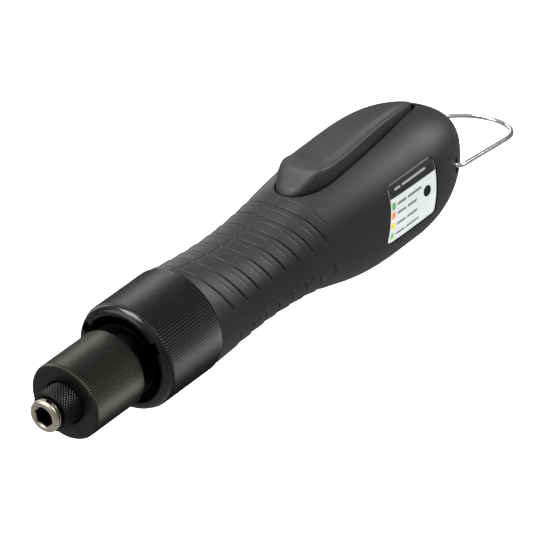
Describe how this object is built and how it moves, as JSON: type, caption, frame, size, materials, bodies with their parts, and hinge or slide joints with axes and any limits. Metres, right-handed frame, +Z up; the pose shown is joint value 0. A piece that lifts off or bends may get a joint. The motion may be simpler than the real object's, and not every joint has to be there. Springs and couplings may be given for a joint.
{
  "type": "electric torque screwdriver",
  "caption": "Corded electric torque screwdriver with a lever start, hexagon quick-release bit holder, knurled torque nut, moulded grip and wire hanging loop",
  "frame": {"origin": "middle of the mouth of the hexagon bit socket, on the tool's axis", "axes": "+X runs along the tool to its tail, +Z is up to the start lever, -Y is the label side"},
  "size_m": [0.2413, 0.0427, 0.0491],
  "materials": {
    "housing": "satin",
    "lever": "satin",
    "collar": "satin",
    "nose_ring": "glossy",
    "case_steel": "blackened",
    "bright_steel": "polished",
    "dark_screw": "satin",
    "socket_metal": "satin nickel",
    "spring_steel": "bright",
    "sleeve_black": "matte",
    "gear_steel": "ground",
    "can_steel": "plated",
    "core_steel": "laminated",
    "copper": "lacquered",
    "magnet": "satin",
    "switch_black": "matte",
    "plunger_red": "glossy",
    "board_green": "solder mask",
    "lamp_clear": "glossy",
    "lens_dark": "glossy",
    "label": "satin print",
    "knob_grey": "satin",
    "socket_black": "satin",
    "contact_brass": "polished",
    "bail_chrome": "polished"
  },
  "bodies": {
    "housing": {"housing_left": "housing", "housing_right": "housing", "housing_screws": "dark_screw", "front_collar": "collar", "nose_ring": "nose_ring", "index_pin": "bright_steel", "clutch_case": "case_steel", "case_cover": "case_steel", "ring_gear": "gear_steel", "motor_can": "can_steel", "motor_end_cap": "can_steel", "motor_bearings": "bright_steel", "stator_core": "core_steel", "stator_windings": "copper", "lever_pin": "bright_steel", "lever_spring": "spring_steel", "micro_switch": "switch_black", "switch_bracket": "can_steel", "control_board": "board_green", "status_lamp": "lamp_clear", "status_lens": "lens_dark", "label_plate": "label", "direction_switch": "switch_black", "power_socket": "socket_black", "socket_contacts": "contact_brass"},
    "spindle": {"bit_spindle": "socket_metal", "bit_balls": "bright_steel", "retaining_ring": "spring_steel", "sleeve_spring": "spring_steel", "thrust_ring": "bright_steel", "clutch_balls": "bright_steel", "output_carrier": "gear_steel"},
    "sleeve": {"bit_sleeve": "sleeve_black"},
    "spring_stop": {"spring_seat": "case_steel", "torque_spring": "spring_steel"},
    "nut": {"torque_nut": "collar"},
    "first_carrier": {"stage1_carrier": "gear_steel"},
    "first_planet_a": {"stage1_planet_1": "gear_steel"},
    "first_planet_b": {"stage1_planet_2": "gear_steel"},
    "first_planet_c": {"stage1_planet_3": "gear_steel"},
    "second_planet_a": {"stage2_planet_1": "gear_steel"},
    "second_planet_b": {"stage2_planet_2": "gear_steel"},
    "second_planet_c": {"stage2_planet_3": "gear_steel"},
    "rotor": {"motor_shaft": "bright_steel", "rotor_magnet": "magnet"},
    "lever": {"start_lever": "lever"},
    "plunger": {"switch_plunger": "plunger_red"},
    "direction_slider": {"direction_knob": "knob_grey"},
    "bail": {"hanging_bail": "bail_chrome"}
  },
  "joints": [
    {"name": "spindle_spin", "type": "hinge", "parent": "housing", "child": "spindle", "pos_m": [0, 0, 0], "axis": [1, 0, 0], "continuous": true},
    {"name": "sleeve_pull", "type": "slide", "parent": "spindle", "child": "sleeve", "axis": [1, 0, 0], "range_m": [0, 0.0025], "stiffness_N_per_m": 400, "springref_m": -0.002, "deforming": ["sleeve_spring"]},
    {"name": "stop_travel", "type": "slide", "parent": "housing", "child": "spring_stop", "axis": [1, 0, 0], "range_m": [0, 0.0046], "deforming": ["torque_spring"]},
    {"name": "nut_turn", "type": "hinge", "parent": "housing", "child": "nut", "pos_m": [0, 0, 0], "axis": [1, 0, 0], "range_deg": [0, 1080]},
    {"name": "first_carrier_spin", "type": "hinge", "parent": "housing", "child": "first_carrier", "pos_m": [0, 0, 0], "axis": [1, 0, 0], "continuous": true},
    {"name": "rotor_spin", "type": "hinge", "parent": "housing", "child": "rotor", "pos_m": [0, 0, 0], "axis": [1, 0, 0], "continuous": true},
    {"name": "second_planet_a_spin", "type": "hinge", "parent": "spindle", "child": "second_planet_a", "pos_m": [0.062, 0, 0.0072], "axis": [1, 0, 0], "continuous": true},
    {"name": "first_planet_a_spin", "type": "hinge", "parent": "first_carrier", "child": "first_planet_a", "pos_m": [0.072, 0, 0.0072], "axis": [1, 0, 0], "continuous": true},
    {"name": "second_planet_b_spin", "type": "hinge", "parent": "spindle", "child": "second_planet_b", "pos_m": [0.062, -0.00624, -0.0036], "axis": [1, 0, 0], "continuous": true},
    {"name": "first_planet_b_spin", "type": "hinge", "parent": "first_carrier", "child": "first_planet_b", "pos_m": [0.072, -0.00624, -0.0036], "axis": [1, 0, 0], "continuous": true},
    {"name": "second_planet_c_spin", "type": "hinge", "parent": "spindle", "child": "second_planet_c", "pos_m": [0.062, 0.00624, -0.0036], "axis": [1, 0, 0], "continuous": true},
    {"name": "first_planet_c_spin", "type": "hinge", "parent": "first_carrier", "child": "first_planet_c", "pos_m": [0.072, 0.00624, -0.0036], "axis": [1, 0, 0], "continuous": true},
    {"name": "lever_press", "type": "hinge", "parent": "housing", "child": "lever", "pos_m": [0.189, 0, 0.0134], "axis": [0, -1, 0], "range_deg": [0, 3.2], "stiffness_Nm_per_rad": 2, "springref_deg": -8.59, "deforming": ["lever_spring"]},
    {"name": "plunger_press", "type": "slide", "parent": "housing", "child": "plunger", "axis": [0, 0, -1], "range_m": [0, 0.0012]},
    {"name": "direction_shift", "type": "slide", "parent": "housing", "child": "direction_slider", "axis": [1, 0, 0], "range_m": [-0.002, 0.002]},
    {"name": "bail_swing", "type": "hinge", "parent": "housing", "child": "bail", "pos_m": [0.195, 0, -0.0015], "axis": [0, -1, 0], "range_deg": [-75, 100]}
  ],
  "couplings": [
    {"joint": "stop_travel", "follows": "nut_turn", "m_per_rad": 0.00023873},
    {"joint": "first_carrier_spin", "follows": "spindle_spin", "ratio": 4},
    {"joint": "rotor_spin", "follows": "spindle_spin", "ratio": 16},
    {"joint": "second_planet_a_spin", "follows": "spindle_spin", "ratio": -3},
    {"joint": "first_planet_a_spin", "follows": "spindle_spin", "ratio": -12},
    {"joint": "second_planet_b_spin", "follows": "spindle_spin", "ratio": -3},
    {"joint": "first_planet_b_spin", "follows": "spindle_spin", "ratio": -12},
    {"joint": "second_planet_c_spin", "follows": "spindle_spin", "ratio": -3},
    {"joint": "first_planet_c_spin", "follows": "spindle_spin", "ratio": -12},
    {"joint": "plunger_press", "follows": "lever_press", "m_per_rad": 0.019}
  ]
}
